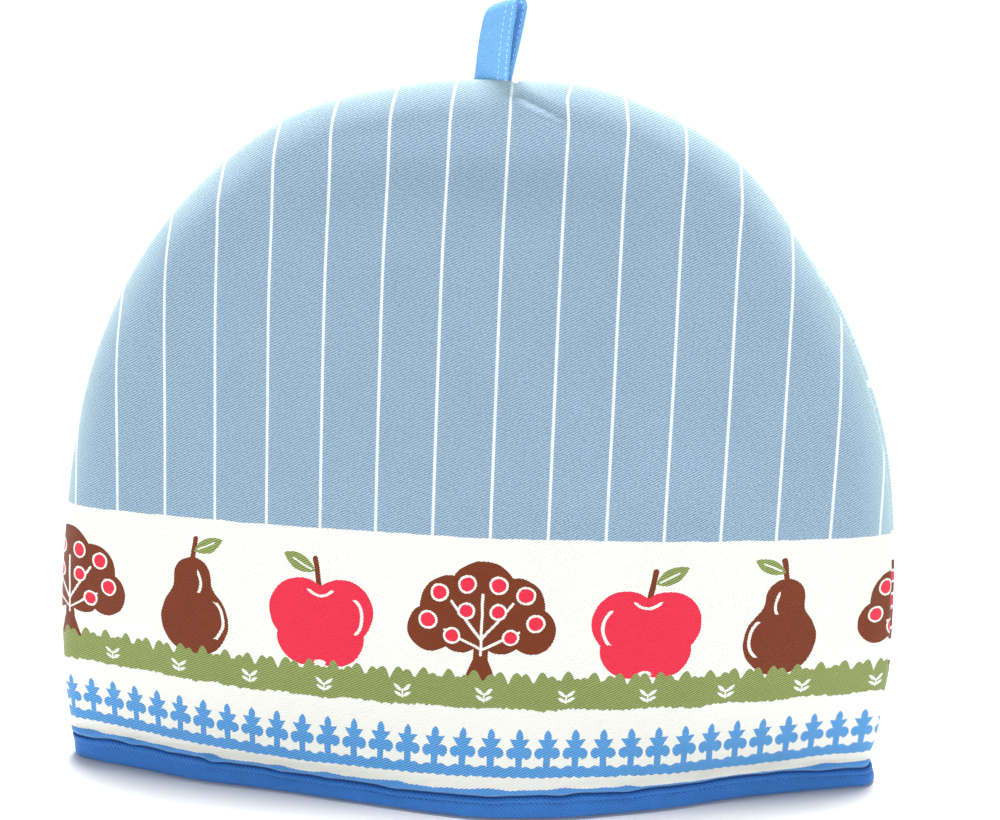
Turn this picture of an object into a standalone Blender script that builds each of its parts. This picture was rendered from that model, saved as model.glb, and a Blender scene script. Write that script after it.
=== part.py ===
"""A tea cosy that stands on its hem: two padded dome panels that meet along a curved seam,
a binding folded round the hem, and a tape loop caught in the top of the seam.

Metres, +Z up. The origin is the middle of the cosy on the surface that it stands on.
X runs from side seam to side seam, and the front panel faces -Y.
"""

import math

import bmesh
import bpy
import numpy as np
from mathutils import Matrix, Vector

# Seam outline in the plane Y = 0, from the right foot over the top to the left foot: x, z
SEAM_POINTS = (
    (0.1727, 0.000),
    (0.1757, 0.025),
    (0.1759, 0.055),
    (0.1716, 0.114),
    (0.1605, 0.165),
    (0.1345, 0.2180),
    (0.0988, 0.2627),
    (0.0520, 0.2860),
    (0.0110, 0.2905),
    (-0.0310, 0.2875),
    (-0.0770, 0.2737),
    (-0.1210, 0.2378),
    (-0.1506, 0.192),
    (-0.1668, 0.142),
    (-0.1757, 0.085),
    (-0.1778, 0.045),
    (-0.1773, 0.022),
    (-0.1738, 0.000),
)
SHOULDER_X = 0.134

# Wall: outer cloth, wadding and lining sewn as one
WALL = 0.0075
WALL_IN_BINDING = 0.0032
SEAM_DEPTH = 0.005
EDGE_ROUND = 0.0085
EDGE_ROUND_AT_HEM = 0.0058
PIECE_GAP = 0.0003

# The wadding swells past the seam. On the right the back panel swells further, round to the front
SEAM_SWELL = 0.0010
BACK_SWELL = 0.0036
SEAM_SWAY = 0.0042
SWAY_REACH = 0.022

# How far a panel stands out at the middle, beyond its rounded edge: height, depth
BULGE_UP = (
    (0.000, 0.0190),
    (0.060, 0.0185),
    (0.115, 0.0185),
    (0.150, 0.0170),
    (0.190, 0.0140),
    (0.212, 0.0115),
    (0.228, 0.0092),
    (0.240, 0.0050),
    (0.252, 0.0022),
    (0.268, 0.0012),
    (0.291, 0.0000),
)
BULGE_ACROSS = 1.17

# What the opened hem adds to that: x, depth
HEM_PULL = (
    (-0.180, 0.0000),
    (-0.146, 0.0030),
    (-0.117, 0.0060),
    (-0.090, 0.0068),
    (-0.063, 0.0085),
    (-0.037, 0.0120),
    (-0.011, 0.0165),
    (0.014, 0.0188),
    (0.038, 0.0174),
    (0.063, 0.0142),
    (0.088, 0.0100),
    (0.114, 0.0050),
    (0.140, 0.0025),
    (0.180, 0.0000),
)
HEM_PULL_TO = 0.130
HEM_PULL_POWER = 1.5

# Binding, a strip folded round the raw edges of both panels, which it pinches
BINDING_HEIGHT = 0.0105
BINDING_CLOTH = 0.0012
BINDING_FOLD = 0.0013
CHANNEL_FLOOR = 0.0018
PINCH = 0.0006
PINCH_FROM = 0.0115
PINCH_TO = 0.024

# Tape loop
TAPE_WIDTH = 0.014
TAPE_THICK = 0.0016
LOOP_AT_X = 0.0042
LOOP_RISE = 0.0325
LOOP_TAIL = 0.007
LOOP_HALF_OPEN = 0.0052
LOOP_OPEN_BY = 0.7
LOOP_TURN = math.radians(-15)
LOOP_LEAN = math.radians(9.5)
SLOT_HALF_THICK = 0.0023

# Distances from the seam at which the grid has lines, so that the rounded edge keeps its form
EDGE_STEPS = (0.0, 0.0004, 0.0016, 0.0036, 0.0062, 0.0095, 0.0165, 0.028)
MIDDLE_COLUMNS = 17
HEM_ROWS = (0.0065, 0.0115, 0.0155, 0.0195, 0.024, 0.034)
MIDDLE_ROWS = 10

# Soft lumps of the wadding: x, z, reach across, reach up, how far it stands out
LUMPS = (
    (-0.095, 0.205, 0.045, 0.026, 0.0010),
    (0.075, 0.178, 0.050, 0.030, 0.0009),
    (-0.030, 0.150, 0.055, 0.030, 0.0006),
    (0.125, 0.115, 0.030, 0.040, 0.0008),
    (-0.135, 0.090, 0.028, 0.040, 0.0008),
)

# The pucker that runs down to the right from the foot of the loop
PUCKER_START = (0.0100, 0.2860)
PUCKER_END = (0.0360, 0.2700)
PUCKER_HALF_WIDTH = 0.0042
PUCKER_DEEP = 0.0019

SLATE_BLUE = (0.31, 0.46, 0.60, 1)
ROYAL_BLUE = (0.06, 0.19, 0.52, 1)


def smooth_step(value, start, end):
    share = max(0.0, min(1.0, (value - start) / (end - start)))
    return share * share * (3 - 2 * share)


def smooth_line(points, steps=12):
    """Catmull-Rom curve through the points, as an array with a row for each place."""
    points = np.array(points)
    ends = np.vstack((2 * points[0] - points[1], points, 2 * points[-1] - points[-2]))
    share = np.linspace(0, 1, steps, endpoint=False)[:, None]
    line = []
    for p0, p1, p2, p3 in zip(ends, ends[1:], ends[2:], ends[3:]):
        bend = (2 * p0 - 5 * p1 + 4 * p2 - p3) * share**2 + (3 * p1 - p0 - 3 * p2 + p3) * share**3
        line.append(p1 + 0.5 * ((p2 - p0) * share + bend))
    return np.vstack((*line, points[-1]))


OUTLINE = smooth_line(SEAM_POINTS)
TOP = int(OUTLINE[:, 1].argmax())
HEIGHT = float(OUTLINE[TOP, 1])
HALF_WIDTH = float(OUTLINE[:, 0].max())
RIGHT_HALF = OUTLINE[: TOP + 1]
LEFT_HALF = OUTLINE[TOP:][::-1]
BULGE_LINE = smooth_line(BULGE_UP)
HEM_PULL_LINE = smooth_line(HEM_PULL)


def look_up(value, line):
    return float(np.interp(value, line[:, 0], line[:, 1]))


def seam_x(z, half):
    """The seam's place across at height z, upright where the binding holds it."""
    return float(np.interp(max(z, PINCH_FROM), half[:, 1], half[:, 0]))


def seam_height(x):
    """Height of the seam above a place across the dome."""
    over_top = OUTLINE[OUTLINE[:, 1] > 0.1][::-1]
    return look_up(x, over_top)


SHOULDER_LEFT = seam_height(-SHOULDER_X)
SHOULDER_RIGHT = seam_height(SHOULDER_X)


def nearest_on_seam(x, z):
    """The seam's nearest point to a place in its plane, and the distance to it."""
    place = np.array((x, z))
    starts, runs = OUTLINE[:-1], np.diff(OUTLINE, axis=0)
    share = ((place - starts) * runs).sum(axis=1) / (runs**2).sum(axis=1)
    feet = starts + runs * np.clip(share, 0, 1)[:, None]
    distances = np.hypot(*(place - feet).T)
    best = int(distances.argmin())
    return feet[best], float(distances[best])


def bulge(x, z):
    """How far a panel stands out beyond its rounded edge."""
    half = RIGHT_HALF if x > 0 else LEFT_HALF
    across = min(1.0, x / seam_x(z, half))
    pull = look_up(x, HEM_PULL_LINE) * max(0.0, 1 - z / HEM_PULL_TO) ** HEM_PULL_POWER
    return look_up(z, BULGE_LINE) * (1 - across**2) ** BULGE_ACROSS + pull


def lumps(x, z, side):
    """Unevenness of the wadding, the other way round on the back panel."""
    total = 0.0
    for at_x, at_z, wide, tall, out in LUMPS:
        total += out * math.exp(-(((-side * x - at_x) / wide) ** 2) - ((z - at_z) / tall) ** 2)
    return total


def pucker(x, z, side):
    """Depth of the pucker beside the loop, on the front panel only."""
    if side > 0:
        return 0.0
    start, end = Vector(PUCKER_START), Vector(PUCKER_END)
    run, out = end - start, Vector((x, z)) - start
    share = max(0.0, min(1.0, out.dot(run) / run.length_squared))
    away = (out - run * share).length / PUCKER_HALF_WIDTH
    return PUCKER_DEEP * (1 - 0.6 * share) * math.exp(-away * away)


def outer_depth(x, z, side):
    """How far the outer cloth stands from the seam plane, and its share of the rounded edge."""
    z = max(z, PINCH_FROM)
    _, inside = nearest_on_seam(x, z)
    edge = EDGE_ROUND_AT_HEM + (EDGE_ROUND - EDGE_ROUND_AT_HEM) * smooth_step(z, 0.02, 0.07)
    fill = 1 - min(1.0, inside / edge)
    share = math.sqrt(1 - fill * fill)
    uneven = (lumps(x, z, side) - pucker(x, z, side)) * smooth_step(inside, 0.0, 0.02)
    pinch = PINCH * (1 - smooth_step(z, PINCH_FROM, PINCH_TO)) * min(1.0, inside / edge)
    return edge * share + bulge(x, z) + uneven - pinch, share


def inner_depth(x, z, side):
    """How far the lining stands from the seam plane."""
    wall = WALL_IN_BINDING + (WALL - WALL_IN_BINDING) * smooth_step(z, PINCH_FROM, PINCH_TO)
    return max(outer_depth(x, z, side)[0] - wall, PIECE_GAP)


def grid_columns():
    """Places across from the left seam (-1) to the right one (1)."""
    right = [1 - s / HALF_WIDTH for s in reversed(EDGE_STEPS)]
    last = right[0]
    middle = [last * (2 * (k + 1) / (MIDDLE_COLUMNS + 1) - 1) for k in range(MIDDLE_COLUMNS)]
    return [-u for u in reversed(right)] + middle + right


def grid_rows():
    """Heights of the rows at the left seam, from the foot in the binding to the shoulder."""
    foot = CHANNEL_FLOOR + PIECE_GAP
    near_top = [SHOULDER_LEFT - s * 0.68 for s in reversed(EDGE_STEPS)]
    start, end = HEM_ROWS[-1], near_top[0]
    middle = [start + (end - start) * (k + 1) / (MIDDLE_ROWS + 1) for k in range(MIDDLE_ROWS)]
    return [foot, *HEM_ROWS, *middle, *near_top]


def grid_place(u, row_z):
    """Place in the seam plane of column u and of the row that starts at row_z on the left."""
    rise = max(0.0, (row_z - PINCH_TO) / (SHOULDER_LEFT - PINCH_TO))
    right_z = row_z + rise * (SHOULDER_RIGHT - SHOULDER_LEFT)
    mix = (u + 1) / 2
    x = seam_x(row_z, LEFT_HALF) * (1 - mix) + seam_x(right_z, RIGHT_HALF) * mix
    side_z = row_z * (1 - mix) + right_z * mix
    shoulder_z = SHOULDER_LEFT * (1 - mix) + SHOULDER_RIGHT * mix
    return x, side_z + rise**1.6 * (seam_height(SHOULDER_X * u) - shoulder_z)


def right_side(x, z):
    """1 along the right seam between the hem and the shoulder, fading out at both."""
    return smooth_step(x, 0.08, 0.15) * smooth_step(z, 0.02, 0.06) * smooth_step(z, 0.25, 0.20)


def sway(x, z):
    """How far the seam lies in front of its plane."""
    _, inside = nearest_on_seam(x, z)
    return -SEAM_SWAY * right_side(x, z) * smooth_step(inside, SWAY_REACH, 0)


def outer_point(u, row_z, side, on_seam):
    x, z = grid_place(u, row_z)
    if on_seam:
        return Vector((x, side * PIECE_GAP / 2 + sway(x, z), z))
    depth, share = outer_depth(x, z, side)
    foot, inside = nearest_on_seam(x, z)
    swell = SEAM_SWELL
    if side > 0:
        swell += (BACK_SWELL - SEAM_SWELL) * right_side(x, z)
    swell *= smooth_step(z, PINCH_FROM, PINCH_TO)
    out = swell * 6.75 * share * (1 - share) ** 2 / max(inside, 1e-6)
    y = side * depth + sway(x, z) * (1 - share)
    return Vector((x + (foot[0] - x) * out, y, z + (foot[1] - z) * out))


def inner_point(u, row_z, side, on_seam):
    x, z = grid_place(u, row_z)
    x *= 1 - SEAM_DEPTH / HALF_WIDTH
    z -= SEAM_DEPTH * (z / HEIGHT) ** 2
    depth = PIECE_GAP / 2 if on_seam else inner_depth(x, z, side)
    return Vector((x, side * depth + sway(x, z), z))


def join_grids(mesh, outer, inner, flip):
    """Closed skin from two grids of vertices, joined round all four sides."""
    rows, columns = len(outer), len(outer[0])

    def face(*corners):
        mesh.faces.new(tuple(reversed(corners)) if flip else corners)

    for r in range(rows - 1):
        for c in range(columns - 1):
            face(outer[r][c], outer[r][c + 1], outer[r + 1][c + 1], outer[r + 1][c])
            face(inner[r][c], inner[r + 1][c], inner[r + 1][c + 1], inner[r][c + 1])
        face(outer[r][0], outer[r + 1][0], inner[r + 1][0], inner[r][0])
        face(outer[r][-1], inner[r][-1], inner[r + 1][-1], outer[r + 1][-1])
    for c in range(columns - 1):
        face(outer[0][c], inner[0][c], inner[0][c + 1], outer[0][c + 1])
        face(outer[-1][c], outer[-1][c + 1], inner[-1][c + 1], inner[-1][c])


def finish_mesh(name, mesh, material, collection):
    data = bpy.data.meshes.new(name)
    mesh.to_mesh(data)
    mesh.free()
    data.shade_smooth()
    data.set_sharp_from_angle(angle=math.radians(40))
    data.materials.append(material)
    made = bpy.data.objects.new(name, data)
    collection.objects.link(made)
    return made


def padded_panel(name, side, material, collection):
    """One dome panel. side is -1 for the front and 1 for the back."""
    columns, rows = grid_columns(), grid_rows()
    mesh = bmesh.new()
    outer, inner = [], []
    for row_z in rows:
        edge = [abs(u) == 1 or row_z == rows[-1] for u in columns]
        for grid, point in ((outer, outer_point), (inner, inner_point)):
            spots = [point(u, row_z, side, on_seam) for u, on_seam in zip(columns, edge)]
            grid.append([mesh.verts.new(spot) for spot in spots])
    join_grids(mesh, outer, inner, flip=side > 0)
    return finish_mesh(name, mesh, material, collection)


def hem_columns():
    """Columns and sides all round the hem: along the front, then back along the back."""
    columns = grid_columns()
    return [(u, -1) for u in columns[:-1]] + [(u, 1) for u in reversed(columns[1:])]


def outer_hem_line(offset):
    """Plan of the outer cloth in the binding, moved outwards."""
    points = []
    for u, side in hem_columns():
        x, z = grid_place(u, PINCH_FROM)
        points.append(Vector((x, 0 if abs(u) == 1 else side * outer_depth(x, z, side)[0])))
    moved = []
    for k, point in enumerate(points):
        before = (point - points[k - 1]).normalized()
        after = (points[(k + 1) % len(points)] - point).normalized()
        along = (before + after).normalized()
        out = Vector((along.y, -along.x)) / max(0.5, along.dot(before))
        moved.append(point + out * offset)
    return moved


def inner_hem_line(inset):
    """Plan of the lining in the binding, moved inwards."""
    points = []
    for u, side in hem_columns():
        x, z = grid_place(u, PINCH_FROM)
        x *= 1 - (SEAM_DEPTH + inset) / HALF_WIDTH
        depth = 0 if abs(u) == 1 else max(inner_depth(x, z, side) - inset, PIECE_GAP)
        points.append(Vector((x, side * depth)))
    return points


def hem_binding(material, collection):
    """Strip folded into a channel that holds the feet of both panels."""
    gap = PIECE_GAP + 0.00003
    face = gap + BINDING_CLOTH
    top = BINDING_HEIGHT
    # The strip's section from the outer flap's foot round to the inner one's: line, height
    section = (
        (outer_hem_line(face - BINDING_FOLD), 0.0),
        (outer_hem_line(face - 0.3 * BINDING_FOLD), 0.3 * BINDING_FOLD),
        (outer_hem_line(face), BINDING_FOLD),
        (outer_hem_line(face), top - 0.0004),
        (outer_hem_line(face - 0.0004), top),
        (outer_hem_line(gap), top),
        (outer_hem_line(gap), CHANNEL_FLOOR),
        (inner_hem_line(gap), CHANNEL_FLOOR),
        (inner_hem_line(gap), top),
        (inner_hem_line(face), top),
        (inner_hem_line(face), BINDING_FOLD),
        (inner_hem_line(gap), 0.0),
    )
    mesh = bmesh.new()
    lines = [[mesh.verts.new((p.x, p.y, z)) for p in line] for line, z in section]
    count = len(lines[0])
    for a, line in enumerate(lines):
        after = lines[(a + 1) % len(lines)]
        for k in range(count):
            n = (k + 1) % count
            mesh.faces.new((line[k], line[n], after[n], after[k]))
    bmesh.ops.recalc_face_normals(mesh, faces=mesh.faces)
    return finish_mesh("hem_binding", mesh, material, collection)


def loop_line():
    """Centre line of the tape seen from the side: up the front leg, over the top, down the back."""
    foot, wide = TAPE_THICK * 0.75, LOOP_HALF_OPEN
    arch_z = LOOP_RISE - TAPE_THICK / 2 - wide
    leg = [(foot, -LOOP_TAIL), (foot, -0.003), (foot, 0.001)]
    for k in range(1, 9):
        opened = math.sin(math.pi / 2 * min(1, k / 8 / LOOP_OPEN_BY))
        leg.append((foot + (wide - foot) * opened, arch_z * k / 8))
    angles = [math.pi * k / 10 for k in range(1, 10)]
    front = [Vector((-y, z)) for y, z in leg]
    arch = [Vector((-wide * math.cos(a), arch_z + wide * math.sin(a))) for a in angles]
    back = [Vector((-p.x, p.y)) for p in reversed(front)]
    return front + arch + back


def offset_line(line, out):
    moved = []
    for k, point in enumerate(line):
        along = line[min(k + 1, len(line) - 1)] - line[max(k - 1, 0)]
        moved.append(point + Vector((-along.y, along.x)).normalized() * out)
    return moved


def loop_place():
    """Where the loop stands on the seam: turned a little and leaning over."""
    at = Matrix.Translation((LOOP_AT_X, 0, seam_height(LOOP_AT_X)))
    return at @ Matrix.Rotation(LOOP_LEAN, 4, "Y") @ Matrix.Rotation(LOOP_TURN, 4, "Z")


def hang_loop(material, collection):
    """Tape folded into a loop, its outline seen from the side given the tape's width."""
    line = loop_line()
    outline = offset_line(line, TAPE_THICK / 2) + offset_line(line, -TAPE_THICK / 2)[::-1]
    mesh = bmesh.new()
    half = TAPE_WIDTH / 2
    left = [mesh.verts.new((-half, p.x, p.y)) for p in outline]
    right = [mesh.verts.new((half, p.x, p.y)) for p in outline]
    count, last = len(outline), len(outline) - 1
    for k in range(count):
        n = (k + 1) % count
        mesh.faces.new((left[k], left[n], right[n], right[k]))
    for k in range(count // 2 - 1):
        mesh.faces.new((left[k], left[last - k], left[last - k - 1], left[k + 1]))
        mesh.faces.new((right[k], right[k + 1], right[last - k - 1], right[last - k]))
    bmesh.ops.recalc_face_normals(mesh, faces=mesh.faces)
    loop = finish_mesh("hang_loop", mesh, material, collection)
    loop.matrix_world = loop_place()
    return loop


def loop_slot(collection):
    """Cutter for the slot in the seam that the loop's tails go down into."""
    deep, above = LOOP_TAIL + 0.001, 0.012
    bpy.ops.mesh.primitive_cube_add(size=1)
    slot = bpy.context.object
    slot.name = "loop_slot"
    for owner in list(slot.users_collection):
        owner.objects.unlink(slot)
    collection.objects.link(slot)
    size = (TAPE_WIDTH + 2 * PIECE_GAP, 2 * SLOT_HALF_THICK, deep + above)
    grow = Matrix.Diagonal((*size, 1))
    slot.data.transform(Matrix.Translation((0, 0, (above - deep) / 2)) @ grow)
    slot.matrix_world = loop_place()
    slot.display_type = "WIRE"
    slot.hide_render = True
    return slot


def cut(target, cutter):
    modifier = target.modifiers.new("slot", "BOOLEAN")
    modifier.operation = "DIFFERENCE"
    modifier.object = cutter


def cloth(name, colour, roughness):
    material = bpy.data.materials.new(name)
    material.use_nodes = True
    shader = material.node_tree.nodes["Principled BSDF"]
    shader.inputs["Base Color"].default_value = colour
    shader.inputs["Roughness"].default_value = roughness
    shader.inputs["Metallic"].default_value = 0
    return material


def new_collection(name):
    made = bpy.data.collections.new(name)
    bpy.context.scene.collection.children.link(made)
    return made


def main():
    for old in list(bpy.data.objects):
        bpy.data.objects.remove(old)
    parts = new_collection("tea_cosy")
    cutters = new_collection("cutters")
    twill = cloth("striped_twill", SLATE_BLUE, 0.85)
    plain = cloth("royal_blue_cotton", ROYAL_BLUE, 0.75)
    front = padded_panel("front_panel", -1, twill, parts)
    back = padded_panel("back_panel", 1, twill, parts)
    hem_binding(plain, parts)
    hang_loop(plain, parts)
    slot = loop_slot(cutters)
    cut(front, slot)
    cut(back, slot)


main()
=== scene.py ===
"""Looks of a tea cosy: two padded, printed twill panels, a bound hem and a tape loop.

Metres, +Z up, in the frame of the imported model. The print is charted in millimetres on the flat cloth.
"""

import math
from functools import partialmethod, reduce

import bmesh
import bpy
import numpy as np
from mathutils import Matrix, Vector, noise


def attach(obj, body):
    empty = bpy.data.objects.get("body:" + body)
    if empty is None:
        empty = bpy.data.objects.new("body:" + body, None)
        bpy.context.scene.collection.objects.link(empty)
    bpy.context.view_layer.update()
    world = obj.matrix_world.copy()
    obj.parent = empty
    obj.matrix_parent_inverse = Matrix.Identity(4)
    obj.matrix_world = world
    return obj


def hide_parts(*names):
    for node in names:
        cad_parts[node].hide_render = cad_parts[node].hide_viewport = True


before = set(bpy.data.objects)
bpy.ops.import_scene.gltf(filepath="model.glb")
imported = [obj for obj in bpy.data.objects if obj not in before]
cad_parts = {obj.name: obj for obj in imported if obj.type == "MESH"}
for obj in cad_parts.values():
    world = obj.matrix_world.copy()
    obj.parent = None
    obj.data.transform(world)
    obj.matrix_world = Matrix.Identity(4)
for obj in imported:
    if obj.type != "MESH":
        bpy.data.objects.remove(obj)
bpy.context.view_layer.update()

# ---- camera
# Angles are in radians
FOCAL_MM = 39.57
SENSOR_MM = 36
EYE = (0.0225, -0.4399, 0.2625)
LOOK_DOWN = 0.2266
LOOK_ASIDE = -0.0286
ROLL = 0.020

# ---- light
# Strength of the surround from each side; the front's fades towards the top
WORLD_FRONT = 1.78
WORLD_FRONT_FADE = 1.6
WORLD_BACK = 0.84
WORLD_LEFT = 0.66
WORLD_RIGHT = 0.68
OVERHEAD = 6.6
OVERHEAD_SPREAD = 17
OVERHEAD_FROM = (0.02, 0.17, 1.0)
BACKDROP_WHITE = 1.06
FLOOR_WHITE = 0.90
FLOOR_HALF = 6

# ---- shape of the solids
# Seam outline in the plane Y = 0, from the right foot over the top to the left foot: x, z
SEAM_POINTS = (
    (0.1727, 0.000), (0.1757, 0.025), (0.1759, 0.055), (0.1716, 0.114),
    (0.1605, 0.165), (0.1345, 0.2180), (0.0988, 0.2627), (0.0520, 0.2860),
    (0.0110, 0.2905), (-0.0310, 0.2875), (-0.0770, 0.2737), (-0.1210, 0.2378),
    (-0.1506, 0.192), (-0.1668, 0.142), (-0.1757, 0.085), (-0.1778, 0.045),
    (-0.1773, 0.022), (-0.1738, 0.000),
)
SHOULDER_X = 0.134

WALL = 0.0075
WALL_IN_BINDING = 0.0032
SEAM_DEPTH = 0.005
EDGE_ROUND = 0.0085
EDGE_ROUND_AT_HEM = 0.0058
EDGE_ROUND_FROM = (0.02, 0.07)
PIECE_GAP = 0.0003

# Over the upper part the padding rounds off this far in from the seam
SOFT_EDGE = 0.016
SOFT_EDGE_FROM = (0.05, 0.13)

# Just inside the top seam the padding is fuller, and below that it sinks
TOP_ROLL = 0.0009
TOP_ROLL_IN = 0.001
TOP_ROLL_AT = 0.012
TOP_ROLL_TO = 0.036
TOP_ROLL_FROM = (0.225, 0.250)

# On the right the seam sways forward and the back panel's edge swells past it: where, across and up
SEAM_SWELL = 0.0010
BACK_SWELL = 0.0036
SWELL_PEAK = 27 / 4
SEAM_SWAY = 0.0042
SWAY_REACH = 0.022
SWAY_ACROSS = (0.08, 0.15)
SWAY_UP = (0.02, 0.06)
SWAY_OUT = (0.25, 0.20)

# How far a panel stands out at the middle, beyond its rounded edge: height, depth
BULGE_UP = (
    (0.000, 0.0190), (0.060, 0.0185), (0.115, 0.0185), (0.150, 0.0170),
    (0.190, 0.0142), (0.212, 0.0120), (0.228, 0.0096), (0.240, 0.0066),
    (0.252, 0.0033), (0.262, 0.0013), (0.275, 0.0006), (0.291, 0.0000),
)
BULGE_ACROSS = 1.17

# What the opened hem adds to that: x, depth
HEM_PULL = (
    (-0.180, 0.0000), (-0.146, 0.0030), (-0.117, 0.0060), (-0.090, 0.0068),
    (-0.063, 0.0085), (-0.037, 0.0120), (-0.011, 0.0165), (0.014, 0.0188),
    (0.038, 0.0174), (0.063, 0.0142), (0.088, 0.0100), (0.114, 0.0050),
    (0.140, 0.0025), (0.180, 0.0000),
)
HEM_PULL_TO = 0.130
HEM_PULL_POWER = 1.5

CHANNEL_FLOOR = 0.0018
PINCH = 0.0006
PINCH_FROM = 0.0115
PINCH_TO = 0.024

TAPE_WIDTH = 0.014
TAPE_THICK = 0.0016
LOOP_AT_X = 0.0043
LOOP_AT_Y = 0.0012
LOOP_TAIL = 0.005
LOOP_FOOT = 0.75
LOOP_OPEN_BY = 0.86
LOOP_LEG_STEPS = 24
LOOP_ARCH_STEPS = 25

# The loop's rise and half opening at the tape's folded left edge and at its stitched right one, and its twist
LOOP_RISE = (0.0269, 0.0319)
LOOP_HALF_OPEN = (0.0045, 0.0028)
LOOP_TURN = math.radians(-4)
LOOP_TWIST = math.radians(-40)
LOOP_TWIST_EARLY = 0.35
LOOP_LEAN = math.radians(11.5)

# Soft lumps of the wadding: x, z, reach across, reach up, how far each stands out
LUMPS = (
    (-0.095, 0.205, 0.045, 0.026, 0.0010), (0.075, 0.178, 0.050, 0.030, 0.0009),
    (-0.030, 0.150, 0.055, 0.030, 0.0006), (0.125, 0.115, 0.030, 0.040, 0.0008),
    (-0.135, 0.090, 0.028, 0.040, 0.0008),
)

# The pucker that runs down to the right from the foot of the loop, and the ridge below it: distance, reach
PUCKER_START = (0.0146, 0.2852)
PUCKER_END = (0.0318, 0.2774)
PUCKER_HALF_WIDTH = 0.0019
PUCKER_DEEP = 0.0025
PUCKER_FADE = 0.6
RIDGE_BELOW = (0.0028, 0.0015)
RIDGE_HIGH = 0.0013
RIDGE_FADE = 0.5

# Lumps and the pucker fade out this near the seam, and tucks and rolls too
LUMPS_CLEAR = 0.02
PUCKER_CLEAR = 0.003
TUCKS_CLEAR = 0.002

# ---- fine form of the cloth
# Columns and rows of the panels' grids, closer together round the edges and at the hem
EDGE_COLUMNS = 11
TOP_ROW_STEP = 0.68
HEM_ROWS = 39
HEM_ROWS_TO = 0.022
ARCH_POWER = 1.6
FRONT_GRID = (281, 235)
BACK_GRID = (221, 191)

# Notch that the loop's tails pull into the top of the seam: x, half width
NOTCH_AT = (0.0133, 0.0011)
NOTCH_DEEP = 0.0013
NOTCH_REACH = 0.008

SEAM_TUCKS_HIGH = 0.00035
SEAM_TUCKS_REACH = 0.0075
SEAM_TUCK_LONG = 0.0085

DIMPLES_HIGH = 0.00035
DIMPLES_LONG = 0.034

# Top edge of the binding along the front: x, height
BINDING_TOP_FRONT = (
    (-0.180, 0.0104), (-0.164, 0.0102), (-0.148, 0.0109), (-0.128, 0.0101),
    (-0.115, 0.0099), (-0.088, 0.0089), (-0.070, 0.0083), (-0.046, 0.0080),
    (-0.023, 0.0078), (0.000, 0.0085), (0.023, 0.0092), (0.046, 0.0094),
    (0.084, 0.0090), (0.122, 0.0096), (0.152, 0.0086), (0.166, 0.0077),
    (0.180, 0.0074),
)
BINDING_TOP_BACK = 0.0092
BINDING_TOP_WAVE = 0.0007
BINDING_TOP_WAVE_LONG = 0.019
BINDING_TOP_BLEND = 0.004
BINDING_PUFF = 0.18
BINDING_PUFF_LONG = 0.020

# At its left end the hem is pressed flat, and flares around this height: middle, reach
LEFT_END_X = (0.160, 0.176)
LEFT_END_FLAT = 0.65
LEFT_FLARE = 0.0013
LEFT_FLARE_AT = (0.0125, 0.0060)

# Little gathers of the cloth just above the binding: x, half width, how far out
HEM_GATHERS = (
    (-0.166, 0.0042, 0.0006), (-0.1465, 0.0042, 0.0014), (-0.130, 0.0050, 0.0006),
    (-0.1085, 0.0040, 0.0015), (-0.0790, 0.0040, 0.0011), (-0.0580, 0.0050, 0.0007),
    (-0.0293, 0.0045, 0.0009), (0.0100, 0.0050, 0.0005), (0.0400, 0.0040, 0.0006),
    (0.0665, 0.0050, 0.0010), (0.0980, 0.0050, 0.0006), (0.1250, 0.0040, 0.0009),
    (0.1500, 0.0060, 0.0012),
)
HEM_STATION = 0.0022

# The cloth rolls over just above the binding and dips into its seam: distance above the binding, reach
GATHER_ABOVE = (0.0017, 0.0016)
ROLL_ABOVE = (0.0028, 0.0021)
ROLL_HIGH = 0.0013
SEAM_DIP_AT = (0, 0.0010)
SEAM_DIP = 0.0009

# The seam line dips a little under each gather and wavers between them
SEAM_UNDER_GATHER = 0.40
SEAM_WAVER = 0.00035
SEAM_WAVER_LONG = 0.009

STITCH_BELOW_EDGE = 0.0024
STITCH_PITCH = 0.0024
STITCH_LONG = 0.0014
STITCH_THICK = 0.0004
LOOP_STITCH_PITCH = 0.0022
LOOP_STITCH_LONG = 0.0015
LOOP_STITCH_ROWS = (0.0028, 0.0060)
LOOP_STITCH_SUNK = 0.9


# ---- shape functions
def smooth_step(value, start, end):
    share = np.clip((value - start) / (end - start), 0, 1)
    return share * share * (3 - 2 * share)


def hump(value, middle, reach):
    """1 at the middle, falling off smoothly on both sides."""
    return np.exp(-(((value - middle) / reach) ** 2))


def lengths_along(line):
    """Length of a line from its first point to each of its points."""
    return np.insert(np.cumsum(np.linalg.norm(np.diff(line, axis=0), axis=1)), 0, 0)


def smooth_line(points, steps=12):
    """Catmull-Rom curve through the points, as an array with a row for each place."""
    points = np.array(points)
    ends = np.vstack((2 * points[0] - points[1], points, 2 * points[-1] - points[-2]))
    share = np.linspace(0, 1, steps, endpoint=False)[:, None]
    line = []
    for p0, p1, p2, p3 in zip(ends, ends[1:], ends[2:], ends[3:]):
        bend = (2 * p0 - 5 * p1 + 4 * p2 - p3) * share**2 + (3 * p1 - p0 - 3 * p2 + p3) * share**3
        line.append(p1 + 0.5 * ((p2 - p0) * share + bend))
    return np.vstack((*line, points[-1]))


OUTLINE = smooth_line(SEAM_POINTS)
OUTLINE_ALONG = lengths_along(OUTLINE)
TOP = int(OUTLINE[:, 1].argmax())
HEIGHT = float(OUTLINE[TOP, 1])
HALF_WIDTH = float(OUTLINE[:, 0].max())
RIGHT_HALF = OUTLINE[: TOP + 1]
LEFT_HALF = OUTLINE[TOP:][::-1]
OVER_TOP = OUTLINE[OUTLINE[:, 1] > 0.1][::-1]
BULGE_LINE = smooth_line(BULGE_UP)
HEM_PULL_LINE = smooth_line(HEM_PULL)


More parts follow.
